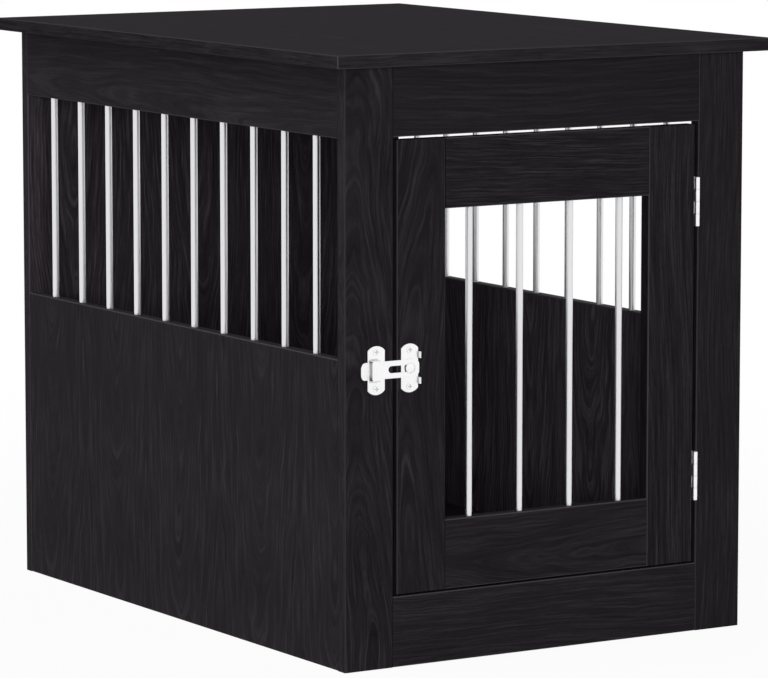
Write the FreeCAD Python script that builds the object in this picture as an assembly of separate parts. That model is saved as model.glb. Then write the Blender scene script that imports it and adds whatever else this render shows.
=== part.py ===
import FreeCAD, Part
import math
import os

# Dog crate end table: a black board box with a table top, two barred side
# windows and a barred front door on butt hinges, held shut by a flat slide bolt.
# Millimetres. The origin is on the floor under the centre of the table top.
# +X is to the right seen from the front, +Y runs back, +Z is up.

Vector = FreeCAD.Vector
X_AXIS = Vector(1, 0, 0)
Y_AXIS = Vector(0, 1, 0)
Z_AXIS = Vector(0, 0, 1)

# ---------------------------------------------------------------- table size
table_height = 680.0
top_width = 575.0
top_depth = 795.0
top_thickness = 15.0
side_overhang = 21.5
front_overhang = 21.0
back_overhang = 19.0

# ---------------------------------------------------------------- boards
panel_thickness = 15.0
back_thickness = 15.0
floor_thickness = 15.0
frame_thickness = 16.0
edge_chamfer = 1.2
widest_chamfer_share = 0.4
stile_width = 62.0
front_top_rail_height = 78.0
front_bottom_rail_height = 79.0
side_rail_height = 78.0
side_panel_height = 345.5
floor_top_height = 60.0
floor_side_clearance = 0.5
batten_width = 18.0
batten_height = 20.0

# ---------------------------------------------------------------- door
door_side_gap = 5.0
door_top_gap = 3.5
door_bottom_gap = 2.5
door_stile_width = 63.0
door_top_rail_height = 78.0
door_bottom_rail_height = 78.0

# ---------------------------------------------------------------- metal bars
bar_diameter = 8.0
bar_seat_depth = 12.0
bar_seat_clearance = 0.1
bar_seat_flats = 8
bar_end_clearance = 0.5
side_bar_count = 10
side_bar_end_space = 55.5
door_bar_count = 4
door_bar_end_space = 35.5

# ---------------------------------------------------------------- hidden tongues between boards
tongue_thickness = 4.0
tongue_reach = 9.0
tongue_clearance = 0.1
rail_tongue_length = 50.0
panel_tongue_length = 200.0

# ---------------------------------------------------------------- hinges
hinge_height = 56.0
hinge_leaf_thickness = 1.2
hinge_leaf_depth = 14.5
hinge_leaf_corner = 2.0
hinge_barrel_diameter = 5.5
hinge_pin_diameter = 3.0
hinge_pin_clearance = 0.05
hinge_axis_standoff = 2.0
hinge_knuckle_count = 4
hinge_knuckle_gap = 0.3
hinge_leaf_relief = 0.5
upper_hinge_from_door_top = 88.0
lower_hinge_from_door_bottom = 99.0

# ---------------------------------------------------------------- slide bolt
keeper_from_stile_edge = 22.5
latch_plate_from_door_edge = 15.5
latch_plate_width = 22.0
latch_plate_height = 54.0
latch_plate_end_rise = 5.0
latch_plate_thickness = 1.2
bolt_height = 19.5
bolt_thickness = 1.6
bolt_clearance = 0.2
bolt_travel = 24.5
bolt_corner_radius = 6.5
bolt_tail = 7.5
nose_clearance = 0.4
nose_curl_length = 12.5
nose_curl_radius = 30.0
bridge_width = 10.0
bridge_thickness = 1.2
bridge_side_clearance = 0.8
bridge_shoulder_radius = 1.8
bridge_from_keeper_centre = 3.0
rivet_shank_diameter = 7.0
rivet_head_diameter = 12.0
rivet_head_height = 3.2
rivet_head_rings = 2
rivet_crown_share = 0.5
rivet_side_clearance = 0.35
ear_height = 4.6
ear_width = 7.3
ear_thickness = 1.2
ear_clearance = 0.8
latch_screw_spacing = 40.8
latch_screw_diameter = 3.0
latch_screw_length = 13.0
latch_screw_head_diameter = 7.6
latch_screw_head_height = 1.0
screw_cross_span = 4.6
screw_cross_width = 0.9
screw_cross_depth = 0.6
cutter_margin = 1.0

# ---------------------------------------------------------------- worked out
body_left = -top_width / 2 + side_overhang
body_right = top_width / 2 - side_overhang
front_face = -top_depth / 2 + front_overhang
back_face = top_depth / 2 - back_overhang
frame_back = front_face + frame_thickness
frame_middle = front_face + frame_thickness / 2
back_front = back_face - back_thickness
box_height = table_height - top_thickness
opening_left = body_left + stile_width
opening_right = body_right - stile_width
opening_bottom = front_bottom_rail_height
opening_top = box_height - front_top_rail_height
side_rail_bottom = box_height - side_rail_height

door_left = opening_left + door_side_gap
door_right = opening_right - door_side_gap
door_bottom = opening_bottom + door_bottom_gap
door_top = opening_top - door_top_gap
window_left = door_left + door_stile_width
window_right = door_right - door_stile_width
window_bottom = door_bottom + door_bottom_rail_height
window_top = door_top - door_top_rail_height

hinge_axis_x = (door_right + opening_right) / 2
hinge_axis_y = front_face - hinge_axis_standoff
upper_hinge_z = door_top - upper_hinge_from_door_top
lower_hinge_z = door_bottom + lower_hinge_from_door_bottom

latch_z = (door_bottom + door_top) / 2
keeper_x = opening_left - keeper_from_stile_edge
latch_plate_x = door_left + latch_plate_from_door_edge
plate_front = front_face - latch_plate_thickness
bolt_back = plate_front - bolt_clearance
bolt_front = bolt_back - bolt_thickness
rivet_seat = bolt_front - bolt_clearance
slot_radius = rivet_shank_diameter / 2 + rivet_side_clearance
bridge_left = keeper_x - bridge_from_keeper_centre - bridge_width / 2
bridge_right = bridge_left + bridge_width
bolt_nose_x = bridge_right + nose_clearance - bolt_travel
bolt_tail_x = latch_plate_x + slot_radius + bolt_tail


# ---------------------------------------------------------------- small helpers
def box(x0, x1, y0, y1, z0, z1):
    """A block between two corners."""
    return Part.makeBox(x1 - x0, y1 - y0, z1 - z0, Vector(x0, y0, z0))


def centred_box(centre, size_x, size_y, size_z):
    """A block about its centre."""
    corner = centre.sub(Vector(size_x, size_y, size_z) * 0.5)
    return Part.makeBox(size_x, size_y, size_z, corner)


def rod(diameter, start, end):
    """A round bar from one point to another."""
    run = end.sub(start)
    return Part.makeCylinder(diameter / 2, run.Length, start, run)


def edges_along(shape, direction):
    """The straight edges that run along one direction."""
    found = []
    for edge in shape.Edges:
        run = edge.Vertexes[-1].Point.sub(edge.Vertexes[0].Point)
        if run.Length > 0 and run.cross(direction).Length < 1e-6:
            found.append(edge)
    return found


def edges_at_depth(edges, depth):
    """Those of some edges that lie at one y."""
    return [edge for edge in edges if abs(edge.Vertexes[0].Y - depth) < 1e-6]


def board(x0, x1, y0, y1, z0, z1, grain):
    """A board whose four long edges, along the grain, are softened."""
    block = box(x0, x1, y0, y1, z0, z1)
    thinnest = min(x1 - x0, y1 - y0, z1 - z0)
    return block.makeChamfer(min(edge_chamfer, widest_chamfer_share * thinnest), edges_along(block, grain))


def group(solids):
    """Several separate solids kept as one node."""
    return Part.makeCompound(solids)


def less(shape, cutters):
    """A shape less those cutters that reach it."""
    near = [cutter for cutter in cutters if cutter.BoundBox.intersect(shape.BoundBox)]
    return shape.cut(near) if near else shape


def spaced(first, last, count):
    """Evenly spaced places from first to last."""
    step = (last - first) / (count - 1)
    return [first + step * index for index in range(count)]


def low_dome(diameter, height, base, direction):
    """A shallow dome in a few cone rings, on the flat of its base."""
    radius = diameter / 2
    ball = (radius ** 2 + height ** 2) / (2 * height)
    levels = [height * index / (rivet_head_rings + rivet_crown_share) for index in range(rivet_head_rings + 1)]
    dome = None
    for low, high in zip(levels, levels[1:]):
        wide = math.sqrt(ball ** 2 - (low + ball - height) ** 2)
        narrow = math.sqrt(ball ** 2 - (high + ball - height) ** 2)
        ring = Part.makeCone(wide, narrow, high - low, base + direction * low, direction)
        dome = ring if dome is None else dome.fuse(ring)
    return dome


# ---------------------------------------------------------------- bars and their seats
def side_span(left):
    """The two x values of a side board."""
    return (body_left, body_left + panel_thickness) if left else (body_right - panel_thickness, body_right)


def side_places(left):
    """The places of the bars along one side window."""
    x0, x1 = side_span(left)
    first = frame_back + side_bar_end_space
    last = back_front - side_bar_end_space
    return [((x0 + x1) / 2, y) for y in spaced(first, last, side_bar_count)]


def door_places():
    """The places of the bars across the door window."""
    first = window_left + door_bar_end_space
    last = window_right - door_bar_end_space
    return [(x, frame_middle) for x in spaced(first, last, door_bar_count)]


def upright_bars(places, bottom, top):
    """Round bars let into the boards below and above a window."""
    reach = bar_seat_depth - bar_end_clearance
    bars = []
    for x, y in places:
        bars.append(rod(bar_diameter, Vector(x, y, bottom - reach), Vector(x, y, top + reach)))
    return bars


def bar_seat(x, y, low):
    """A blind seat for a bar's end; its flats touch the round bore's circle."""
    bore = bar_diameter / 2 + bar_seat_clearance
    corner = bore / math.cos(math.pi / bar_seat_flats)
    points = []
    for index in range(bar_seat_flats + 1):
        angle = 2 * math.pi * index / bar_seat_flats
        points.append(Vector(x + corner * math.cos(angle), y + corner * math.sin(angle), low))
    return Part.Face(Part.makePolygon(points)).extrude(Z_AXIS * bar_seat_depth)


def bar_seats(places, bottom, top):
    """The seats below and above a window."""
    seats = []
    for x, y in places:
        seats.append(bar_seat(x, y, bottom - bar_seat_depth))
        seats.append(bar_seat(x, y, top))
    return seats


# ---------------------------------------------------------------- hidden tongues and their slots
def tongue(centre, across, along, length, grown):
    """A loose tongue that crosses a joint and runs along it, or its slot when grown."""
    size = Vector(tongue_thickness, tongue_thickness, tongue_thickness)
    size = size + across * (2 * tongue_reach - tongue_thickness)
    size = size + along * (length - tongue_thickness)
    size = size + Vector(2, 2, 2) * grown
    return centred_box(centre, size.x, size.y, size.z)


def frame_tongues(grown):
    """At the four corners of the front frame."""
    found = []
    for x in (opening_left, opening_right):
        for z in (opening_bottom - front_bottom_rail_height / 2, opening_top + front_top_rail_height / 2):
            found.append(tongue(Vector(x, frame_middle, z), X_AXIS, Z_AXIS, rail_tongue_length, grown))
    return found


def door_tongues(grown):
    """At the four corners of the door."""
    found = []
    for x in (window_left, window_right):
        for z in (window_bottom - door_bottom_rail_height / 2, window_top + door_top_rail_height / 2):
            found.append(tongue(Vector(x, frame_middle, z), X_AXIS, Z_AXIS, rail_tongue_length, grown))
    return found


def side_tongues(grown):
    """Between the side boards and the front frame and back panel."""
    spots = [(side_panel_height / 2, panel_tongue_length),
             (side_rail_bottom + side_rail_height / 2, rail_tongue_length)]
    found = []
    for left in (True, False):
        x = sum(side_span(left)) / 2
        for y in (frame_back, back_front):
            for z, length in spots:
                found.append(tongue(Vector(x, y, z), Y_AXIS, Z_AXIS, length, grown))
    return found


def top_tongues(grown):
    """Along the upper edges of the two side rails, up into the table top."""
    middle = (frame_back + back_front) / 2
    found = []
    for left in (True, False):
        x = sum(side_span(left)) / 2
        found.append(tongue(Vector(x, middle, box_height), Z_AXIS, Y_AXIS, panel_tongue_length, grown))
    return found


def cabinet_slots():
    """The slots of every tongue in the cabinet."""
    return frame_tongues(tongue_clearance) + side_tongues(tongue_clearance) + top_tongues(tongue_clearance)


# ---------------------------------------------------------------- cabinet boards
def make_top_board():
    """The table top, softened on every edge and slotted from below."""
    half = top_width / 2
    slab = box(-half, half, -top_depth / 2, top_depth / 2, box_height, table_height)
    slab = slab.makeChamfer(min(edge_chamfer, widest_chamfer_share * top_thickness), slab.Edges)
    return less(slab, cabinet_slots())


def make_back_panel():
    """The solid back, over the ends of the side boards."""
    return less(board(body_left, body_right, back_front, back_face, 0, box_height, Z_AXIS), cabinet_slots())


def make_floor_board():
    """The crate floor, lying on the two battens."""
    left = body_left + panel_thickness + floor_side_clearance
    right = body_right - panel_thickness - floor_side_clearance
    front = frame_back + floor_side_clearance
    back = back_front - floor_side_clearance
    return board(left, right, front, back, floor_top_height - floor_thickness, floor_top_height, Y_AXIS)


def make_floor_batten(left):
    """A batten glued along the foot of a side panel to carry the floor."""
    high = floor_top_height - floor_thickness
    inner = side_span(left)[1] if left else side_span(left)[0] - batten_width
    return box(inner, inner + batten_width, frame_back, back_front, high - batten_height, high)


def make_side_board(left, bottom, top):
    """One side board with its bar seats and slots."""
    x0, x1 = side_span(left)
    body = board(x0, x1, frame_back, back_front, bottom, top, Y_AXIS)
    return less(body, bar_seats(side_places(left), side_panel_height, side_rail_bottom) + cabinet_slots())


def make_side_bars(left):
    """The row of bars of one side window."""
    return group(upright_bars(side_places(left), side_panel_height, side_rail_bottom))


def make_front_stile(x0):
    """An upright of the front frame, from the floor to the table top."""
    stile = board(x0, x0 + stile_width, front_face, frame_back, 0, box_height, Z_AXIS)
    return less(stile, cabinet_slots())


def make_front_rail(bottom, top):
    """A rail of the front frame, between the two stiles."""
    rail = board(opening_left, opening_right, front_face, frame_back, bottom, top, X_AXIS)
    return less(rail, cabinet_slots())


# ---------------------------------------------------------------- door
def make_door_stile(x0):
    """An upright of the door, over its full height."""
    stile = board(x0, x0 + door_stile_width, front_face, frame_back, door_bottom, door_top, Z_AXIS)
    return less(stile, door_tongues(tongue_clearance))


def make_door_rail(bottom, top):
    """A rail of the door, between its stiles, with the seats of the bars."""
    rail = board(window_left, window_right, front_face, frame_back, bottom, top, X_AXIS)
    return less(rail, door_tongues(tongue_clearance) + bar_seats(door_places(), window_bottom, window_top))


def make_door_bars():
    """The bars of the door window."""
    return group(upright_bars(door_places(), window_bottom, window_top))


# ---------------------------------------------------------------- hinges
def barrel(diameter, low, high):
    """A round piece of a hinge about its axis."""
    return rod(diameter, Vector(hinge_axis_x, hinge_axis_y, low), Vector(hinge_axis_x, hinge_axis_y, high))


def knuckle_spans(middle, on_door):
    """Heights of the knuckles of one leaf; the frame has the uppermost one."""
    pitch = hinge_height / hinge_knuckle_count
    spans = []
    for index in range(hinge_knuckle_count):
        if (index % 2 == 1) == on_door:
            high = middle + hinge_height / 2 - index * pitch
            spans.append((high - pitch + hinge_knuckle_gap / 2, high - hinge_knuckle_gap / 2))
    return spans


def make_hinge_leaf(middle, on_door):
    """A leaf against the edge of its board, with clipped rear corners and rolled knuckles."""
    half = hinge_height / 2
    x0 = door_right if on_door else opening_right - hinge_leaf_thickness
    x1 = x0 + hinge_leaf_thickness
    front = hinge_axis_y + hinge_barrel_diameter / 2 + hinge_leaf_relief
    rear = front_face + hinge_leaf_depth
    leaf = box(x0, x1, front, rear, middle - half, middle + half)
    leaf = leaf.makeChamfer(hinge_leaf_corner, edges_at_depth(edges_along(leaf, X_AXIS), rear))
    for low, high in knuckle_spans(middle, on_door):
        knuckle = barrel(hinge_barrel_diameter, low, high)
        leaf = leaf.fuse([box(x0, x1, hinge_axis_y, front, low, high), knuckle])
    bore = hinge_pin_diameter + 2 * hinge_pin_clearance
    return leaf.cut(barrel(bore, middle - half, middle + half)).removeSplitter()


def make_hinge_pin(middle):
    """The pin, as long as the barrel."""
    return barrel(hinge_pin_diameter, middle - hinge_height / 2, middle + hinge_height / 2)


# ---------------------------------------------------------------- slide bolt
def latch_plate(x):
    """A flat plate with bowed ends, lying on the front face."""
    half = latch_plate_width / 2
    end = latch_plate_height / 2
    side = end - latch_plate_end_rise
    corners = []
    for right, up in ((-1, -1), (1, -1), (1, 1), (-1, 1)):
        corners.append(Vector(x + right * half, plate_front, latch_z + up * side))
    bottom = Part.Arc(corners[0], Vector(x, plate_front, latch_z - end), corners[1]).toShape()
    right = Part.LineSegment(corners[1], corners[2]).toShape()
    top = Part.Arc(corners[2], Vector(x, plate_front, latch_z + end), corners[3]).toShape()
    left = Part.LineSegment(corners[3], corners[0]).toShape()
    return Part.Face(Part.Wire([bottom, right, top, left])).extrude(Y_AXIS * latch_plate_thickness)


def screw_places(x):
    """The two screws of a latch plate."""
    return [(x, latch_z - latch_screw_spacing / 2), (x, latch_z + latch_screw_spacing / 2)]


def screw_bores(x):
    """The screw holes through a latch plate, as wide as the screws."""
    bores = []
    for px, pz in screw_places(x):
        bores.append(rod(latch_screw_diameter, Vector(px, plate_front, pz), Vector(px, front_face, pz)))
    return bores


def make_keeper_plate():
    """The keeper on the stile, with a raised bridge that the nose runs under."""
    inner_half = bolt_height / 2 + bridge_side_clearance
    outer_half = inner_half + bridge_thickness
    under = bolt_front - curl_rise(nose_curl_length) - bolt_clearance
    crown = under - bridge_thickness
    block = box(bridge_left, bridge_right, crown, plate_front, latch_z - outer_half, latch_z + outer_half)
    shoulders = edges_at_depth(edges_along(block, X_AXIS), crown)
    block = block.makeFillet(bridge_shoulder_radius, shoulders)
    tunnel = box(bridge_left, bridge_right, under, front_face, latch_z - inner_half, latch_z + inner_half)
    return less(latch_plate(keeper_x).fuse(block).removeSplitter(), [tunnel] + screw_bores(keeper_x))


def make_door_plate():
    """The plate on the door, with two turned-up ears that guide the bolt."""
    plate = latch_plate(latch_plate_x)
    edge = latch_plate_x + latch_plate_width / 2
    near = bolt_height / 2 + ear_clearance
    for low in (latch_z - near - ear_width, latch_z + near):
        ear = box(edge, edge + ear_thickness, plate_front - ear_height, front_face, low, low + ear_width)
        plate = plate.fuse(ear)
    shank = rod(rivet_shank_diameter, Vector(latch_plate_x, plate_front, latch_z),
                Vector(latch_plate_x, front_face, latch_z))
    return less(plate.removeSplitter(), [shank] + screw_bores(latch_plate_x))


def make_rivet():
    """The domed rivet that carries the bolt through its slot, closed flush behind the plate."""
    seat = Vector(latch_plate_x, rivet_seat, latch_z)
    shank = rod(rivet_shank_diameter, seat, Vector(latch_plate_x, front_face, latch_z))
    return low_dome(rivet_head_diameter, rivet_head_height, seat, -Y_AXIS).fuse(shank)


def curl_rise(length):
    """How far the bolt's curl stands out at some length along it."""
    return nose_curl_radius - math.sqrt(nose_curl_radius ** 2 - length ** 2)


def bolt_bar():
    """The bolt seen from above: a flat bar with its nose curled outwards."""
    start = bolt_nose_x + nose_curl_length
    low = latch_z - bolt_height / 2
    half = nose_curl_length / 2
    steps = (0, half, nose_curl_length)
    back = [Vector(start - step, bolt_back - curl_rise(step), low) for step in steps]
    front = [Vector(start - step, bolt_front - curl_rise(step), low) for step in steps]
    tail_front = Vector(bolt_tail_x, bolt_front, low)
    tail_back = Vector(bolt_tail_x, bolt_back, low)
    outline = [
        Part.Arc(back[0], back[1], back[2]).toShape(),
        Part.LineSegment(back[2], front[2]).toShape(),
        Part.Arc(front[2], front[1], front[0]).toShape(),
        Part.LineSegment(front[0], tail_front).toShape(),
        Part.LineSegment(tail_front, tail_back).toShape(),
        Part.LineSegment(tail_back, back[0]).toShape(),
    ]
    return Part.Face(Part.Wire(outline)).extrude(Z_AXIS * bolt_height)


def bolt_slot(near):
    """The round-ended slot that the rivet runs in, from one y back through the bolt."""
    far = bolt_back + cutter_margin
    left = latch_plate_x - bolt_travel
    slot = box(left, latch_plate_x, near, far, latch_z - slot_radius, latch_z + slot_radius)
    for x in (left, latch_plate_x):
        slot = slot.fuse(rod(2 * slot_radius, Vector(x, near, latch_z), Vector(x, far, latch_z)))
    return slot.removeSplitter()


def make_bolt():
    """The flat slotted bolt with rounded corners and its nose curled out."""
    near = bolt_front - curl_rise(nose_curl_length) - bolt_thickness
    half = bolt_height / 2
    outline = box(bolt_nose_x, bolt_tail_x, near, bolt_back + cutter_margin, latch_z - half, latch_z + half)
    outline = outline.makeFillet(bolt_corner_radius, edges_along(outline, Y_AXIS))
    return bolt_bar().common(outline).cut(bolt_slot(near))


def latch_screws(x):
    """The two cross-headed screws of a latch plate."""
    screws = []
    for px, pz in screw_places(x):
        crown = Vector(px, plate_front - latch_screw_head_height, pz)
        seat = Vector(px, plate_front, pz)
        tip = Vector(px, plate_front + latch_screw_length, pz)
        screw = rod(latch_screw_head_diameter, crown, seat).fuse(rod(latch_screw_diameter, seat, tip))
        depth = 2 * screw_cross_depth
        cross = [centred_box(crown, screw_cross_span, depth, screw_cross_width),
                 centred_box(crown, screw_cross_width, depth, screw_cross_span)]
        screws.append(screw.cut(cross))
    return screws


# ---------------------------------------------------------------- whole part
def cabinet_nodes():
    """The box, its table top, floor and bars."""
    return {
        "top_board": make_top_board(),
        "back_panel": make_back_panel(),
        "floor_board": make_floor_board(),
        "left_floor_batten": make_floor_batten(True),
        "right_floor_batten": make_floor_batten(False),
        "left_lower_panel": make_side_board(True, 0, side_panel_height),
        "right_lower_panel": make_side_board(False, 0, side_panel_height),
        "left_top_rail": make_side_board(True, side_rail_bottom, box_height),
        "right_top_rail": make_side_board(False, side_rail_bottom, box_height),
        "left_side_bars": make_side_bars(True),
        "right_side_bars": make_side_bars(False),
        "front_left_stile": make_front_stile(body_left),
        "front_right_stile": make_front_stile(opening_right),
        "front_top_rail": make_front_rail(opening_top, box_height),
        "front_bottom_rail": make_front_rail(0, opening_bottom),
        "frame_tongues": group(frame_tongues(0)),
        "side_tongues": group(side_tongues(0)),
        "top_tongues": group(top_tongues(0)),
    }


def door_nodes():
    """The door and its bars."""
    return {
        "door_left_stile": make_door_stile(door_left),
        "door_right_stile": make_door_stile(window_right),
        "door_top_rail": make_door_rail(window_top, door_top),
        "door_bottom_rail": make_door_rail(door_bottom, window_bottom),
        "door_bars": make_door_bars(),
        "door_tongues": group(door_tongues(0)),
    }


def hinge_nodes():
    """Both butt hinges, each of two leaves and a pin."""
    nodes = {}
    for name, middle in (("upper", upper_hinge_z), ("lower", lower_hinge_z)):
        nodes[name + "_hinge_frame_leaf"] = make_hinge_leaf(middle, False)
        nodes[name + "_hinge_door_leaf"] = make_hinge_leaf(middle, True)
        nodes[name + "_hinge_pin"] = make_hinge_pin(middle)
    return nodes


def latch_nodes():
    """The slide bolt, its two plates, rivet and screws."""
    return {
        "latch_keeper": make_keeper_plate(),
        "latch_keeper_screws": group(latch_screws(keeper_x)),
        "latch_door_plate": make_door_plate(),
        "latch_door_screws": group(latch_screws(latch_plate_x)),
        "latch_rivet": make_rivet(),
        "latch_bolt": make_bolt(),
    }


def main():
    """Write every node."""
    os.makedirs("parts", exist_ok=True)
    for nodes in (cabinet_nodes(), door_nodes(), hinge_nodes(), latch_nodes()):
        for name, shape in nodes.items():
            shape.exportStep("parts/" + name + ".step")


main()
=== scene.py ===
# %% [markdown]
# # Dog crate end table
#
# The table is a box of black boards with a top that overhangs, metal bars in its
# windows, and a door on two butt hinges with a slide bolt. Its boards, bars and
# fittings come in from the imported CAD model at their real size. This file gives
# them their finish, adds the small screws, and sets the light and the camera.

# %% Load the frame
import math
from collections import namedtuple

import bmesh
import bpy
from mathutils import Matrix, Vector


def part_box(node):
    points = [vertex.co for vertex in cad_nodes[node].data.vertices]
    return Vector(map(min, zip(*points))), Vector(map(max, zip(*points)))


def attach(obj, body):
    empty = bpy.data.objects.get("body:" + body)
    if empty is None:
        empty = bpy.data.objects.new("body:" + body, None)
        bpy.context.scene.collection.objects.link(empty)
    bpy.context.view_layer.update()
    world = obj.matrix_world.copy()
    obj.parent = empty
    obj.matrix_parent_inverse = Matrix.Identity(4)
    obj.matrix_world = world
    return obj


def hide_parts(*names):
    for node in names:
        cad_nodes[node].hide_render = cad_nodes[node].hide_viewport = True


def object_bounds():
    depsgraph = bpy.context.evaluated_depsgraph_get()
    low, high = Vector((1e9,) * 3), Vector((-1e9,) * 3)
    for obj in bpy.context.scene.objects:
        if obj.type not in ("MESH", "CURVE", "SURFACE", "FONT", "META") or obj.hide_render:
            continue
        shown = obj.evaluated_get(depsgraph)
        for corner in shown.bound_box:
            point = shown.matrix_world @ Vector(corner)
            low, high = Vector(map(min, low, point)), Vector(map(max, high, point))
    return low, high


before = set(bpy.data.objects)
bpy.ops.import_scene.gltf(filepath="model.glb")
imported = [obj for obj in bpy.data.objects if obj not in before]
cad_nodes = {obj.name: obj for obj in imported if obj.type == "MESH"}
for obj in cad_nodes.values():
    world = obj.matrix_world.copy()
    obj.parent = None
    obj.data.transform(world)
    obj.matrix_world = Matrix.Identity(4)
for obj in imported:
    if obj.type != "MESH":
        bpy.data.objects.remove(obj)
cad_low, cad_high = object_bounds()
scene = bpy.context.scene
MM = 0.001
print("CAD box in mm:", [round(side / MM) for side in cad_high - cad_low])

# %% [markdown]
# ## Camera
#
# The photograph was taken from far off with a long lens, so the box hardly
# narrows towards the back. A camera could be placed by eye; this one was solved
# from the corners of the table top and of the box, whose real places are known.
# It looks down a little, with no lens shift, so that it also turns well round
# the object.

# %% Camera
camera_place = Vector((-2.884, -4.677, 1.024))
camera_aim = Vector((0.0108, -0.0112, 0.3107))
camera_lens_mm = 219.0
camera_sensor_mm = 36.0

camera_data = bpy.data.cameras.new("photo_camera")
camera_data.sensor_width = camera_sensor_mm
camera_data.lens = camera_lens_mm
camera = bpy.data.objects.new("photo_camera", camera_data)
scene.collection.objects.link(camera)
camera.location = camera_place
camera.rotation_euler = (camera_aim - camera_place).to_track_quat("-Z", "Y").to_euler()
scene.camera = camera
print("camera distance in m:", round((camera_aim - camera_place).length, 2))

# %% [markdown]
# ## Wiring materials
#
# A finish is a small net of nodes. Written out one by one, the nodes hide the
# idea, so a short helper adds a node and wires whatever it is given: a socket is
# linked, and a plain number or colour is set on the input itself. All patterns
# start from the object's own coordinates, in metres, so a streak has a real
# width and stays on its board when the door moves.


# %% A helper for material nodes
class Net:
    """One material and a short way to add nodes to it."""

    def __init__(self, name):
        self.material = bpy.data.materials.new(name)
        self.material.use_nodes = True
        self.tree = self.material.node_tree
        self.shader = self.tree.nodes["Principled BSDF"]
        self.coordinates = self.tree.nodes.new("ShaderNodeTexCoord")
        self.place = self.coordinates.outputs["Object"]

    def give(self, socket, value):
        """Links a socket, or sets a plain value."""
        if isinstance(value, bpy.types.NodeSocket):
            self.tree.links.new(value, socket)
        else:
            socket.default_value = value

    def math(self, operation, first, second=0.0, third=0.0):
        """One sum, product or the like."""
        node = self.tree.nodes.new("ShaderNodeMath")
        node.operation = operation
        for socket, value in zip(node.inputs, (first, second, third)):
            self.give(socket, value)
        return node.outputs[0]

    def split(self, vector):
        """The three numbers of a vector."""
        node = self.tree.nodes.new("ShaderNodeSeparateXYZ")
        self.give(node.inputs[0], vector)
        return list(node.outputs)

    def join(self, x, y, z):
        """A vector from three numbers."""
        node = self.tree.nodes.new("ShaderNodeCombineXYZ")
        for socket, value in zip(node.inputs, (x, y, z)):
            self.give(socket, value)
        return node.outputs[0]

    def stretched(self, *per_metre):
        """The place, counted in streaks to the metre along x, y and z."""
        parts = zip(self.split(self.place), per_metre)
        return self.join(*[self.math("MULTIPLY", part, times) for part, times in parts])

    def noise(self, vector, scale=1.0, detail=2.0):
        """Soft noise, about 0.5 on average."""
        node = self.tree.nodes.new("ShaderNodeTexNoise")
        self.give(node.inputs["Vector"], vector)
        node.inputs["Scale"].default_value = scale
        node.inputs["Detail"].default_value = detail
        return node.outputs["Fac"]

    def remap(self, value, low, high, to_low=0.0, to_high=1.0):
        """A range of a value stretched to another, and held there."""
        node = self.tree.nodes.new("ShaderNodeMapRange")
        for socket, given in zip(node.inputs, (value, low, high, to_low, to_high)):
            self.give(socket, given)
        return node.outputs[0]

    def blend(self, share, first, second):
        """One number laid over another."""
        node = self.tree.nodes.new("ShaderNodeMix")
        node.data_type = "FLOAT"
        sockets = (node.inputs["Factor"], node.inputs[2], node.inputs[3])
        for socket, value in zip(sockets, (share, first, second)):
            self.give(socket, value)
        return node.outputs[0]

    def mix(self, share, first, second):
        """One colour laid over another."""
        node = self.tree.nodes.new("ShaderNodeMix")
        node.data_type = "RGBA"
        self.give(node.inputs["Factor"], share)
        for socket, value in ((node.inputs[6], first), (node.inputs[7], second)):
            given = value if isinstance(value, bpy.types.NodeSocket) else (*value, 1.0)
            self.give(socket, given)
        return node.outputs[2]

    def ramp(self, value, stops):
        """A colour for each level of a value."""
        node = self.tree.nodes.new("ShaderNodeValToRGB")
        self.give(node.inputs[0], value)
        elements = node.color_ramp.elements
        while len(elements) < len(stops):
            elements.new(0.5)
        for element, (level, colour) in zip(elements, stops):
            element.position = level
            element.color = (*colour, 1.0)
        return node.outputs[0]

    def bevelled(self):
        """1 on the slanting faces of softened edges and 0 on the flats."""
        parts = self.split(self.coordinates.outputs["Normal"])
        sizes = [self.math("ABSOLUTE", part) for part in parts]
        largest = self.math("MAXIMUM", self.math("MAXIMUM", sizes[0], sizes[1]), sizes[2])
        return self.remap(largest, 0.80, 0.95, 1.0, 0.0)

    def creases(self, reach):
        """0 deep in a crease of the piece and 1 on its open faces."""
        node = self.tree.nodes.new("ShaderNodeAmbientOcclusion")
        node.only_local = True
        node.samples = 6
        node.inputs["Distance"].default_value = reach
        return node.outputs["AO"]

    def finish(self, colour, roughness, metallic=0.0):
        """What the surface looks like: its colour, how dull it is, and if it is metal."""
        self.give(self.shader.inputs["Base Color"], colour)
        self.give(self.shader.inputs["Roughness"], roughness)
        self.shader.inputs["Metallic"].default_value = metallic

    def bump(self, height, strength, distance):
        """Raises and lowers the surface a little."""
        node = self.tree.nodes.new("ShaderNodeBump")
        self.give(node.inputs["Height"], height)
        node.inputs["Strength"].default_value = strength
        node.inputs["Distance"].default_value = distance
        self.tree.links.new(node.outputs[0], self.shader.inputs["Normal"])


def cover(node_name, material):
    """Gives a CAD node its finish."""
    cad_nodes[node_name].data.materials.clear()
    cad_nodes[node_name].data.materials.append(material)


print("CAD nodes to cover or replace:", len(cad_nodes))
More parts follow.
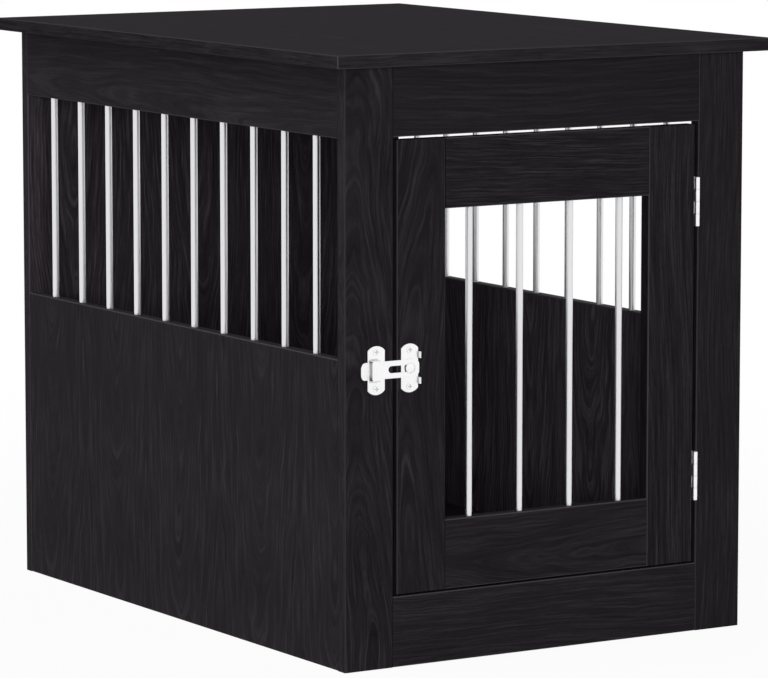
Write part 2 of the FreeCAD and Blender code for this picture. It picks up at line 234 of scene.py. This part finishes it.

# %% [markdown]
# ## Black oak-grained boards
#
# The boards are engineered wood under a black foil with the grain of oak: long
# fine streaks, and here and there the nested V shapes that a saw leaves where it
# cuts through the year rings near the heart. An image could give this, but it
# would repeat and stretch. Here it is worked out from two distances. One is how
# far a point lies from the heart of the figure, measured so that the lines of
# equal distance are those V shapes. The other is the way along the board. Noise
# that is fine over the first and long over the second gives streaks that follow
# the figure. Short dark dashes on top of them are the pores of oak.
#
# The cut ends are banded with a strip of the same foil, so there the streaks run
# along the edge. Some banded edges are painted a little paler as painted light, and
# those of the door and of the stile beside it darker, painted shade for the gaps
# round the door. The bevelled corners of a board are painted palest, a painted
# highlight for the thin lines of light along its edges. A board that is seen from
# inside the crate is painted paler on that face, painted light that stands in for
# the light coming in through the bars.

# %% The grain of one board
# In a Board, rim is the strength of the painted highlight on the bevelled corners, and edge is the
# painted light (above zero) or painted shade (below zero) on the banded edges.
Board = namedtuple("Board", "axes heart leaf tip taper wave seed tone depth rim edge")

black_low = (0.0052, 0.0042, 0.0052)
black_mid = (0.0142, 0.0120, 0.0142)
black_high = (0.0400, 0.0352, 0.0400)
outer_levels = (0.10, 0.5, 0.95)
inside_light_levels = (0.22, 0.5, 0.82)
corner_highlight_black = (0.027, 0.0245, 0.0275)
corner_highlight_share = 0.75
grain_height = 0.2 * MM
squarely = 0.7

# Each kind of noise: streaks to the metre across the grain and along it, and how
# many finer layers they have.
drift_streaks = (3.5, 1.5, 1.0)
ripple_streaks = (45.0, 24.0, 1.0)
wander_streaks = (14.0, 5.5, 2.0)
band_streaks = (420.0, 9.0, 2.0)
fibre_streaks = (850.0, 24.0, 2.0)
pore_dashes = (2400.0, 85.0, 1.0)
cloud_streaks = (9.0, 3.0, 2.0)

# How far the heart drifts in metres, how far the tips wander, how pointed the V
# shapes are, and what each kind of streak adds to the shade.
drift_reach = 0.10
wander_reach = 0.42
figure_power = 1.6
band_share, fibre_share, pore_share, cloud_share = 0.62, 0.50, -0.16, 0.10


def black_oak(name, board, gloss, inner_side, inside_light_tone):
    """The foil of one board, painted paler on the face that points to inner_side as painted light.
    """
    net = Net(name)
    x, y, z = net.split(net.place)
    facing_x, facing_y, facing_z = net.split(net.coordinates.outputs["Normal"])
    pick = {"X": (x, facing_x), "Y": (y, facing_y), "Z": (z, facing_z)}
    across, _ = pick[board.axes[0]]
    through, facing_face = pick[board.axes[1]]
    along, facing_end = pick[board.axes[2]]
    is_end = net.math("GREATER_THAN", net.math("ABSOLUTE", facing_end), squarely)
    is_face = net.math("GREATER_THAN", net.math("ABSOLUTE", facing_face), squarely)
    side_place = net.blend(is_end, across, through)
    run_place = net.blend(is_end, along, across)

    def streaks(width, per_metre_across, per_metre_along, detail):
        """Noise drawn out along the grain."""
        vector = net.join(
            net.math("MULTIPLY_ADD", width, per_metre_across, board.seed),
            net.math("MULTIPLY_ADD", through, per_metre_across, 2.0 * board.seed),
            net.math("MULTIPLY_ADD", run_place, per_metre_along, -board.seed),
        )
        return net.math("SUBTRACT", net.noise(vector, detail=detail), 0.5)

    drift = net.math("MULTIPLY", streaks(side_place, *drift_streaks), drift_reach)
    beside = net.math("ADD", net.math("SUBTRACT", side_place, board.heart), drift)
    beside = net.math("PINGPONG", beside, board.leaf / 2)
    beyond = net.math("MULTIPLY", net.math("SUBTRACT", run_place, board.tip), board.taper)
    wander = streaks(side_place, *wander_streaks)
    beyond = net.math("MULTIPLY_ADD", wander, wander_reach * board.taper, beyond)
    beyond = net.math("ABSOLUTE", beyond)
    powers = [net.math("POWER", part, figure_power) for part in (beside, beyond)]
    figure = net.math("POWER", net.math("ADD", *powers), 1.0 / figure_power)
    ripple = net.math("MULTIPLY", streaks(side_place, *ripple_streaks), board.wave)
    figure = net.math("ADD", figure, ripple)

    pores = net.remap(streaks(side_place, *pore_dashes), 0.06, 0.2)
    relief = net.math("MULTIPLY", streaks(figure, *band_streaks), band_share)
    relief = net.math("MULTIPLY_ADD", streaks(figure, *fibre_streaks), fibre_share, relief)
    relief = net.math("MULTIPLY_ADD", pores, pore_share, relief)
    relief = net.math("MULTIPLY_ADD", streaks(side_place, *cloud_streaks), cloud_share, relief)
    strength = net.blend(is_face, 1.0, board.depth)
    # The banded edges get painted light where board.edge is above zero and painted shade where it
    # is below zero.
    shade_middle_with_painted_edges = net.blend(is_face, 0.5 + board.edge, 0.5)
    shade = net.math("MULTIPLY_ADD", relief, strength, shade_middle_with_painted_edges)

    def blacks(levels, tone):
        """The three blacks at three levels of the shade, all paler or darker alike."""
        colours = [[tone * part for part in black] for black in (black_low, black_mid, black_high)]
        return net.ramp(shade, list(zip(levels, colours)))

    colour = blacks(outer_levels, board.tone)
    # Painted light: the face towards the inside of the crate is painted paler, for the light that
    # comes in through the bars.
    if inside_light_tone != board.tone:
        inwards = net.math("MULTIPLY", facing_face, inner_side)
        is_inner = net.math("GREATER_THAN", inwards, squarely)
        colour = net.mix(is_inner, colour, blacks(inside_light_levels, inside_light_tone))
    # Painted highlight: the bevelled corners are painted paler, for the thin lines of light along
    # the edges.
    corner_highlight = [board.rim * part for part in corner_highlight_black]
    colour = net.mix(net.math("MULTIPLY", net.bevelled(), corner_highlight_share), colour, corner_highlight)
    net.finish(colour, net.remap(shade, 0.2, 0.8, 0.62, 0.5))
    net.shader.inputs["Specular IOR Level"].default_value = gloss
    net.bump(shade, 0.25, grain_height)
    return net.material


print("kinds of streak in the grain: 7")

# %% [markdown]
# ## Laying the grain on every board
#
# A joiner runs the grain along the length of a stile or rail, and upright on a
# wide panel. Each line below names a board and the three axes in the order
# across, through and along. Then come six numbers for its figure, in metres where
# they are lengths:
#
# - the place of its heart, and the width after which the figure comes again
# - the place of its tip along the board, and how fast it tapers
# - how much the streaks ripple
# - a number that makes the pattern its own
#
# A heart outside the board leaves it with plain straight grain. The last four
# numbers are how pale the board is, how strong its grain is, how strong the
# painted highlight on its bevelled corners is, and how much painted light makes
# its banded edges paler, or painted shade makes them darker where it is below
# zero. The table top is the board that the lamp would make shine most, so its
# foil is the dullest.

# %% Boards and their grain
# The door's boards and the front right stile have an edge below zero: painted shade for the gaps
# round the door.
boards = {
    "top_board": Board("XZY", -0.12, 0.30, 0.55, 0.05, 0.002, 3.1, 0.88, 0.42, 1.5, 0.12),
    "back_panel": Board("XYZ", -0.02, 0.17, 0.80, 0.07, 0.003, 5.7, 1.0, 1.1, 1.6, 0.05),
    "floor_board": Board("XZY", 0.10, 0.18, 0.50, 0.08, 0.003, 8.3, 1.0, 1.0, 1.0, 0.0),
    "left_floor_batten": Board("XZY", -0.50, 2.0, 0.0, 0.0, 0.003, 9.1, 1.0, 1.0, 1.0, 0.0),
    "right_floor_batten": Board("XZY", 0.50, 2.0, 0.0, 0.0, 0.003, 9.9, 1.0, 1.0, 1.0, 0.0),
    "left_lower_panel": Board("YXZ", -0.02, 0.165, 0.66, 0.08, 0.005, 11.3, 1.03, 1.15, 1.8, 0.10),
    "right_lower_panel": Board("YXZ", 0.03, 0.15, 0.66, 0.08, 0.005, 13.9, 1.03, 1.15, 1.8, 0.10),
    "left_top_rail": Board("ZXY", 0.605, 0.40, -0.50, 0.045, 0.002, 17.2, 0.95, 0.88, 2.0, 0.0),
    "right_top_rail": Board("ZXY", 0.640, 0.40, 0.50, 0.045, 0.002, 19.4, 0.95, 0.88, 2.0, 0.0),
    "front_left_stile": Board("XYZ", -0.238, 0.20, -0.15, 0.08, 0.003, 21.5, 0.97, 1.32, 0.9, 0.06),
    "front_right_stile": Board("XYZ", 0.400, 2.0, 0.0, 0.0, 0.001, 23.6, 1.02, 1.05, 1.2, -0.25),
    "front_top_rail": Board("ZYX", 0.900, 2.0, 0.0, 0.0, 0.005, 26.8, 0.93, 0.72, 2.4, 0.0),
    "front_bottom_rail": Board("ZYX", -0.200, 2.0, 0.0, 0.0, 0.005, 28.7, 1.0, 0.9, 2.2, 0.0),
    "door_left_stile": Board("XYZ", -0.170, 0.20, -0.20, 0.06, 0.003, 31.2, 0.90, 1.1, 1.1, -0.25),
    "door_right_stile": Board("XYZ", 0.350, 2.0, 0.0, 0.0, 0.001, 33.3, 1.0, 1.5, 1.6, -0.25),
    "door_top_rail": Board("ZYX", 0.900, 2.0, 0.0, 0.0, 0.005, 36.1, 0.94, 1.45, 2.2, -0.25),
    "door_bottom_rail": Board("ZYX", 0.105, 0.20, 0.45, 0.06, 0.004, 38.9, 0.98, 0.95, 2.2, -0.05),
}
# How pale each board is painted on its inside face: painted light for the light that comes in
# through the bars.
inside_light_tones = {
    "back_panel": 1.74, "right_lower_panel": 2.2, "left_lower_panel": 1.5, "floor_board": 1.6,
}
top_gloss = 0.001
board_gloss = 0.02
crate_middle = (cad_low + cad_high) / 2
for node_name, board in boards.items():
    low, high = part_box(node_name)
    face_axis = "XYZ".index(board.axes[1])
    is_before_middle = (low[face_axis] + high[face_axis]) / 2 < crate_middle[face_axis]
    inner_side = 1.0 if is_before_middle else -1.0
    inside_light_tone = inside_light_tones.get(node_name, board.tone)
    gloss = top_gloss if node_name == "top_board" else board_gloss
    cover(node_name, black_oak(node_name + "_grain", board, gloss, inner_side, inside_light_tone))
print("boards with their own grain:", len(boards))

# %% [markdown]
# ## Bare wood of the tongues
#
# The tongues that join the boards are hidden, and show only when the table is
# taken apart. They could share the black foil, but a joining tongue is never
# finished, so they get a plain pale wood: fine streaks in two close colours are
# enough.


# %% Bare wood
def bare_wood():
    """Unfinished pale wood."""
    net = Net("bare_wood")
    streak = net.noise(net.stretched(300.0, 300.0, 20.0), detail=3.0)
    net.finish(net.ramp(streak, [(0.3, (0.40, 0.27, 0.15)), (0.7, (0.60, 0.44, 0.27))]), 0.7)
    net.bump(streak, 0.2, grain_height)
    return net.material


tongues = ("frame_tongues", "side_tongues", "top_tongues", "door_tongues")
wood = bare_wood()
for node_name in tongues:
    cover(node_name, wood)
print("tongue groups in bare wood:", len(tongues))

# %% [markdown]
# ## Bright steel
#
# The bars are drawn steel rod, smooth and bright, with the faint lengthwise marks
# of drawing. The hinges and the bolt are pressed steel under zinc, with the soft
# cloudiness of plating, and their bevelled edges are painted brighter as a painted
# highlight. Both are full metals: their look is what they mirror, so only
# roughness, a little bump and a slight change of tone are drawn. The rods are just
# dull enough that the dark boards beside them show as soft bands and not as a hard
# dark line. The plating is darkened in the narrow creases between pressed parts,
# painted shade that stands in for their shadow. The screws of the back panel are
# blackened, so that they do not stand out on the black board.

# %% Steel finishes
# How far the painted shade in the creases of the zinc reaches.
painted_shade_reach = 2.4 * MM
plating_height = 0.03 * MM


def drawn_steel():
    """Bright rod with fine marks along it."""
    net = Net("drawn_steel")
    marks = net.noise(net.stretched(900.0, 900.0, 4.0))
    colour = net.ramp(marks, [(0.3, (0.77, 0.77, 0.785)), (0.7, (0.84, 0.84, 0.85))])
    net.finish(colour, net.remap(marks, 0.3, 0.7, 0.32, 0.42), metallic=1.0)
    net.bump(marks, 0.02, 0.01 * MM)
    return net.material


def zinc_plate():
    """Pressed steel under bright zinc, with a painted highlight on its edges and painted shade in
    its creases.
    """
    net = Net("zinc_plate")
    clouds = net.noise(net.place, scale=140.0, detail=4.0)
    grain = net.noise(net.place, scale=1500.0)
    tone = net.math("MULTIPLY_ADD", grain, 0.35, net.math("MULTIPLY", clouds, 0.65))
    plating = net.ramp(tone, [(0.35, (0.94, 0.94, 0.945)), (0.65, (0.985, 0.985, 0.985))])
    # Painted highlight: the bevelled edges are painted paler.
    edge_highlighted = net.mix(net.math("MULTIPLY", net.bevelled(), 0.5), plating, (0.99, 0.99, 0.99))
    # Painted shade: the creases of the piece are painted dark, where shadow falls.
    unshaded_share = net.remap(net.creases(painted_shade_reach), 0.40, 0.95)
    colour = net.mix(unshaded_share, (0.10, 0.10, 0.11), edge_highlighted)
    net.finish(colour, net.remap(tone, 0.35, 0.65, 0.26, 0.38), metallic=1.0)
    net.bump(tone, 0.08, plating_height)
    return net.material


def black_screw():
    """Blackened steel, a little worn."""
    net = Net("blackened_steel")
    wear = net.noise(net.place, scale=900.0, detail=3.0)
    colour = net.ramp(wear, [(0.35, (0.020, 0.019, 0.021)), (0.7, (0.060, 0.058, 0.060))])
    net.finish(colour, net.remap(wear, 0.3, 0.7, 0.35, 0.5), metallic=1.0)
    net.bump(wear, 0.1, plating_height)
    return net.material


bright_rod = drawn_steel()
zinc = zinc_plate()
blackened = black_screw()
print("steel finishes:", bright_rod.name, zinc.name, blackened.name)

# %% [markdown]
# ## Adding a piece
#
# Every new piece is shaped in a bmesh, in real places, so that its object can sit
# at the origin. One helper turns the bmesh into an object, smooths what is round
# while it keeps the crisp edges, and hands the piece to the body that carries it.
# A second one turns a profile about an axis. It marks the corners that are
# already in place, so that one bmesh can hold a whole row of round solids.

# %% Helpers for new pieces
crisp_angle = math.radians(32)
weld_distance = 0.001 * MM


def add_piece(name, shape, material, body):
    """An object from a bmesh, riding on a body of the model."""
    mesh = bpy.data.meshes.new(name)
    shape.to_mesh(mesh)
    shape.free()
    mesh.shade_smooth()
    mesh.set_sharp_from_angle(angle=crisp_angle)
    mesh.materials.append(material)
    piece = bpy.data.objects.new(name, mesh)
    scene.collection.objects.link(piece)
    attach(piece, body)
    return piece


def turned_to(axis, centre):
    """The move that stands a shape made about Z on a centre, about another axis."""
    turn = Vector((0, 0, 1)).rotation_difference(axis).to_matrix().to_4x4()
    return Matrix.Translation(centre) @ turn


def spun(shape, profile, centre, axis, steps=48):
    """Turns a line of points (radius, height) about an axis into a closed round solid."""
    points = [shape.verts.new((radius, 0.0, height)) for radius, height in profile]
    edges = [shape.edges.new(pair) for pair in zip(points, points[1:])]
    bmesh.ops.spin(
        shape, geom=points + edges, cent=(0, 0, 0), axis=(0, 0, 1),
        angle=2 * math.pi, steps=steps, use_merge=True,
    )
    made = [vert for vert in shape.verts if not vert.tag]
    bmesh.ops.remove_doubles(shape, verts=made, dist=weld_distance)
    made = [vert for vert in shape.verts if not vert.tag]
    bmesh.ops.transform(shape, matrix=turned_to(axis, centre), verts=made)
    for vert in made:
        vert.tag = True
    bmesh.ops.recalc_face_normals(shape, faces=shape.faces)


print("smooth up to an angle in degrees:", round(math.degrees(crisp_angle)))

# %% [markdown]
# ## Round bars
#
# Each window has a row of upright rods. In the CAD model they are plain
# cylinders whose facets would show as stripes in polished metal. They could be
# smoothed as they are, but their triangles are not joined. So each rod is made
# again as a spun profile with small rounded ends, at the place and size that the
# CAD node gives.

# %% Rods
rod_end_round = 0.6 * MM
along_x, along_y = 0, 1


def make_rods(name, node, count, row_axis, body):
    """A row of rods in the place of one node."""
    low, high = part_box(node)
    radius = (high.x - low.x) / 2 if row_axis == along_y else (high.y - low.y) / 2
    first = low + Vector((radius, radius, 0))
    last = high - Vector((radius, radius, 0))
    height = high.z - low.z
    profile = [(0, 0), (radius - rod_end_round, 0), (radius, rod_end_round)]
    profile += [(radius, height - rod_end_round), (radius - rod_end_round, height), (0, height)]
    shape = bmesh.new()
    for index in range(count):
        place = Vector((first.x, first.y, low.z))
        place[row_axis] += (last[row_axis] - first[row_axis]) * index / (count - 1)
        spun(shape, profile, place, Vector((0, 0, 1)))
    rods = add_piece(name, shape, bright_rod, body)
    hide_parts(node)
    print(name, count, "rods, radius in mm", round(radius / MM, 1))


side_bar_count = 10
door_bar_count = 4
make_rods("left_rods", "left_side_bars", side_bar_count, along_y, "cabinet")
make_rods("right_rods", "right_side_bars", side_bar_count, along_y, "cabinet")
make_rods("door_rods", "door_bars", door_bar_count, along_x, "door")

# %% [markdown]
# ## Pressed fittings with rounded edges
#
# No pressed or cut metal has knife edges: a thin bright line runs along each
# one. The hinge leaves and the plates, bolt and screws of the latch are true in
# the CAD model but for that line. A bevel in the material would fake it only on
# the picture. So a copy of each mesh is merged, its flat faces are joined again,
# and a narrow bevel rounds its edges. It then stands in for the node.

# %% Softened copies of the fittings
edge_round = 0.18 * MM
merge_distance = 0.002 * MM
flat_angle = math.radians(0.6)
sharp_angle = math.radians(38)


def soften(name, node, width, body):
    """A copy of a CAD node with narrow round edges."""
    shape = bmesh.new()
    shape.from_mesh(cad_nodes[node].data)
    bmesh.ops.remove_doubles(shape, verts=shape.verts, dist=merge_distance)
    bmesh.ops.dissolve_limit(
        shape, angle_limit=flat_angle, verts=shape.verts, edges=shape.edges,
    )
    sharp = [
        edge for edge in shape.edges
        if edge.is_manifold and edge.calc_face_angle(0.0) > sharp_angle
    ]
    bmesh.ops.bevel(
        shape, geom=sharp, offset=width, offset_type="OFFSET", segments=2, profile=0.5,
        affect="EDGES", clamp_overlap=True, material=-1,
    )
    piece = add_piece(name, shape, zinc, body)
    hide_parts(node)


fitting_bodies = {
    "upper_hinge_frame_leaf": "cabinet",
    "lower_hinge_frame_leaf": "cabinet",
    "upper_hinge_pin": "cabinet",
    "lower_hinge_pin": "cabinet",
    "upper_hinge_door_leaf": "door",
    "lower_hinge_door_leaf": "door",
    "latch_keeper": "cabinet",
    "latch_keeper_screws": "cabinet",
    "latch_door_plate": "door",
    "latch_door_screws": "door",
    "latch_bolt": "bolt",
}
for node_name, body in fitting_bodies.items():
    soften(node_name + "_finished", node_name, edge_round, body)
print("softened fittings:", len(fitting_bodies))

# %% [markdown]
# ## The rivet
#
# The bolt slides on the shank of a domed rivet. The CAD model has the dome as a
# few cone rings with a flat crown. A dome could be half a sphere, but a rivet's
# head is a shallow cap. Its profile is an arc of a large circle that ends at a
# short upright rim, spun about the rivet's axis.

# %% Rivet
rivet_low, rivet_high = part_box("latch_rivet")
rivet_head_radius = (rivet_high.z - rivet_low.z) / 2
rivet_head_height = 3.1 * MM
cad_head_height = 2.56 * MM
rivet_shank_radius = 3.5 * MM
rivet_rim = 0.35 * MM


def cap_profile(radius, height, rim, steps=10):
    """The arc of a shallow cap, from its rim to its crown."""
    rise = height - rim
    ball = (radius ** 2 + rise ** 2) / (2 * rise)
    half_angle = math.asin(radius / ball)
    points = [(radius, 0.0)]
    for index in range(steps + 1):
        angle = half_angle * (1 - index / steps)
        points.append((ball * math.sin(angle), rim + ball * math.cos(angle) - (ball - rise)))
    return points


rivet_axis = Vector((0, -1, 0))
rivet_middle = (rivet_low + rivet_high) / 2
rivet_seat = Vector((rivet_middle.x, rivet_low.y + cad_head_height, rivet_middle.z))
shank_depth = rivet_high.y - rivet_seat.y
rivet_profile = [
    (0.0, -shank_depth), (rivet_shank_radius, -shank_depth), (rivet_shank_radius, 0.0),
]
rivet_profile += cap_profile(rivet_head_radius, rivet_head_height, rivet_rim)
rivet_shape = bmesh.new()
spun(rivet_shape, rivet_profile, rivet_seat, rivet_axis)
rivet = add_piece("rivet_finished", rivet_shape, zinc, "door")
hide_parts("latch_rivet")
print("rivet head in mm:", round(2 * rivet_head_radius / MM, 1))

# %% [markdown]
# ## Screws of the hinges
#
# Each hinge leaf is held by two small countersunk screws that show when the door
# is open. A head could be a plain disc, but the cross is what makes it a screw.
# The disc's rim and the outline of the cross are drawn as two loops of edges, the
# ring between them is filled, and the cross is pushed down as an extrusion.

# %% Cross-headed screws
screw_sides = 28
hinge_screw_radius = 2.6 * MM
hinge_screw_height = 0.45 * MM
hinge_screw_offset = 17 * MM
hinge_screw_depth = 6.5 * MM
leaf_thickness = 1.2 * MM


def screw_head(shape, centre, axis, radius, height):
    """A flat head with a sunken cross, standing on its centre point."""
    old = set(shape.verts)
    arm, half_width, sink = 0.58 * radius, 0.13 * radius, 0.55 * height
    rim = bmesh.ops.create_circle(shape, cap_ends=False, segments=screw_sides, radius=radius)
    rim_edges = list(dict.fromkeys(edge for vert in rim["verts"] for edge in vert.link_edges))
    corners = []
    for quarter in range(4):
        turn = Matrix.Rotation(quarter * math.pi / 2, 4, "Z")
        for x, y in ((arm, -half_width), (arm, half_width), (half_width, half_width)):
            corners.append(shape.verts.new(turn @ Vector((x, y, 0))))
    pairs = zip(corners, corners[1:] + corners[:1])
    cross_edges = [shape.edges.new(pair) for pair in pairs]
    bmesh.ops.triangle_fill(
        shape, use_beauty=True, use_dissolve=False, edges=rim_edges + cross_edges,
    )

    def pushed_down(edges, depth):
        """Walls from a loop of edges down to a closed bottom."""
        made = bmesh.ops.extrude_edge_only(shape, edges=edges)["geom"]
        verts = [part for part in made if isinstance(part, bmesh.types.BMVert)]
        bmesh.ops.translate(shape, verts=verts, vec=(0, 0, -depth))
        bottom = [part for part in made if isinstance(part, bmesh.types.BMEdge)]
        bmesh.ops.contextual_create(shape, geom=bottom)

    pushed_down(cross_edges, sink)
    raised = list(set(shape.verts) - old)
    bmesh.ops.translate(shape, verts=raised, vec=(0, 0, height))
    pushed_down(rim_edges, height)
    made = list(set(shape.verts) - old)
    bmesh.ops.transform(shape, matrix=turned_to(axis, centre), verts=made)
    bmesh.ops.recalc_face_normals(shape, faces=shape.faces)


for level in ("upper", "lower"):
    for side, body, outward in (("door", "door", 1), ("frame", "cabinet", -1)):
        low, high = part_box(f"{level}_hinge_{side}_leaf")
        face_x = low.x + leaf_thickness if side == "door" else high.x - leaf_thickness
        middle_z = (low.z + high.z) / 2
        shape = bmesh.new()
        for offset in (-hinge_screw_offset, hinge_screw_offset):
            place = Vector((face_x, high.y - hinge_screw_depth, middle_z + offset))
            axis = Vector((outward, 0, 0))
            screw_head(shape, place, axis, hinge_screw_radius, hinge_screw_height)
        add_piece(f"{level}_hinge_{side}_screws", shape, zinc, body)
print("hinge screws: 8")

# %% [markdown]
# ## Screws of the back panel
#
# The back panel is screwed to the back edges of the side boards, with four screws
# down each side. The photograph does not show them. A row of even spacing would
# put one in the window's open part, so the places are given one by one: three in
# the lower panel and one in the top rail.

# %% Screws of the back panel
back_low, back_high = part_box("back_panel")
side_board_middle = 7.5 * MM
back_screw_radius = 3.6 * MM
back_screw_height = 0.4 * MM
back_screw_levels = (0.045, 0.165, 0.300, 0.620)
shape = bmesh.new()
for x in (back_low.x + side_board_middle, back_high.x - side_board_middle):
    for z in back_screw_levels:
        place = Vector((x, back_high.y, z))
        screw_head(shape, place, Vector((0, 1, 0)), back_screw_radius, back_screw_height)
add_piece("back_panel_screws", shape, blackened, "cabinet")
print("back panel screws:", 2 * len(back_screw_levels))

# %% [markdown]
# ## White background
#
# The photograph is a shop picture: the table stands in pure white. Lamps strong
# enough to burn a real room out to white would also bleach the black boards. So
# the world has two faces. It is pure white for the camera and for mirror
# reflections, which gives the background and the bright metal, and a dimmer grey
# sky for all other light.

# %% World
sky_strength = 0.18
pure_white = (1.0, 1.0, 1.0, 1.0)
world = bpy.data.worlds.new("white_studio")
world.use_nodes = True
scene.world = world
tree = world.node_tree
tree.nodes.clear()


def seen_directly(tree):
    """1 for what the camera, a mirror or clear glass sees, else 0."""
    path = tree.nodes.new("ShaderNodeLightPath")
    share = path.outputs["Is Camera Ray"]
    for name in ("Is Glossy Ray", "Is Transmission Ray"):
        either = tree.nodes.new("ShaderNodeMath")
        either.operation = "MAXIMUM"
        tree.links.new(share, either.inputs[0])
        tree.links.new(path.outputs[name], either.inputs[1])
        share = either.outputs[0]
    return share


sky = tree.nodes.new("ShaderNodeBackground")
sky.inputs["Color"].default_value = pure_white
sky.inputs["Strength"].default_value = sky_strength
white = tree.nodes.new("ShaderNodeBackground")
white.inputs["Color"].default_value = pure_white
white.inputs["Strength"].default_value = 1.0
choice = tree.nodes.new("ShaderNodeMixShader")
tree.links.new(seen_directly(tree), choice.inputs[0])
tree.links.new(sky.outputs[0], choice.inputs[1])
tree.links.new(white.outputs[0], choice.inputs[2])
world_output = tree.nodes.new("ShaderNodeOutputWorld")
tree.links.new(choice.outputs[0], world_output.inputs["Surface"])
print("sky strength:", sky_strength)

# %% [markdown]
# ## Floor
#
# A floor that is lit like the rest would end in a grey edge against the white
# background. A floor that only glows would lose the shadow that makes the table
# stand. So it glows white with a small share of real shading near the table, and
# that share fades out with the distance.

# %% Floor
floor_half_size = 40.0
floor_grey = (0.35, 0.35, 0.35, 1.0)
shadow_reach = 0.5
shadow_end = 2.0
white_near_table = 0.955

floor_shape = bmesh.new()
bmesh.ops.create_grid(floor_shape, x_segments=1, y_segments=1, size=floor_half_size)
floor_mesh = bpy.data.meshes.new("studio_floor")
floor_shape.to_mesh(floor_mesh)
floor_shape.free()
floor = bpy.data.objects.new("studio_floor", floor_mesh)
scene.collection.objects.link(floor)

floor_net = Net("studio_floor")
floor_tree = floor_net.tree
floor_net.finish(floor_grey, 0.9)
floor_net.shader.inputs["Specular IOR Level"].default_value = 0.0
floor_x, floor_y, _ = floor_net.split(floor_net.place)
squares = [floor_net.math("POWER", part, 2.0) for part in (floor_x, floor_y)]
distance = floor_net.math("SQRT", floor_net.math("ADD", *squares))
white_share = floor_net.remap(distance, shadow_reach, shadow_end, white_near_table, 1.0)
glow = floor_tree.nodes.new("ShaderNodeEmission")
glow.inputs["Strength"].default_value = 1.0
floor_mix = floor_tree.nodes.new("ShaderNodeMixShader")
glow_share = floor_net.math("MULTIPLY", seen_directly(floor_tree), white_share)
floor_net.give(floor_mix.inputs[0], glow_share)
floor_tree.links.new(floor_net.shader.outputs[0], floor_mix.inputs[1])
floor_tree.links.new(glow.outputs[0], floor_mix.inputs[2])
surface = floor_tree.nodes["Material Output"].inputs["Surface"]
floor_tree.links.new(floor_mix.outputs[0], surface)
floor_mesh.materials.append(floor_net.material)
print("floor size in m:", round(2 * floor_half_size))

# %% [markdown]
# ## Lamps
#
# The light in the photograph comes from the upper left, so the top is palest and
# the front darkest. One lamp alone leaves the inside black, and a plain grey sky
# leaves it flat. Three broad lamps share the work. The key lamp hangs high on the
# left. The front lamp stands low beside the camera, so that its light goes in
# through the bars. The back lamp keeps the far sides from going flat black. None
# of them is mirrored in the metal, where it would leave a hard patch.


# %% Lamps
def soft_lamp(name, place, aim_height, width, height, watts):
    """A broad flat lamp turned towards a point over the middle of the floor."""
    data = bpy.data.lights.new(name, "AREA")
    data.shape = "RECTANGLE"
    data.size = width
    data.size_y = height
    data.energy = watts
    lamp = bpy.data.objects.new(name, data)
    scene.collection.objects.link(lamp)
    lamp.location = place
    aim = Vector((0, 0, aim_height))
    lamp.rotation_euler = (aim - Vector(place)).to_track_quat("-Z", "Y").to_euler()
    lamp.visible_glossy = False


soft_lamp("key_lamp", (-2.6, 0.3, 4.3), aim_height=0.35, width=2.0, height=2.0, watts=150.0)
soft_lamp("front_lamp", (-2.25, -3.8, 0.95), aim_height=0.33, width=1.9, height=1.2, watts=176.0)
soft_lamp("back_lamp", (4.0, 1.6, 1.3), aim_height=0.33, width=2.0, height=2.0, watts=80.0)
print("lamps: 3")

# %% [markdown]
# ## Finish
#
# The colours are shown as they are, with no film look.

# %% Colour view
scene.view_settings.view_transform = "Standard"
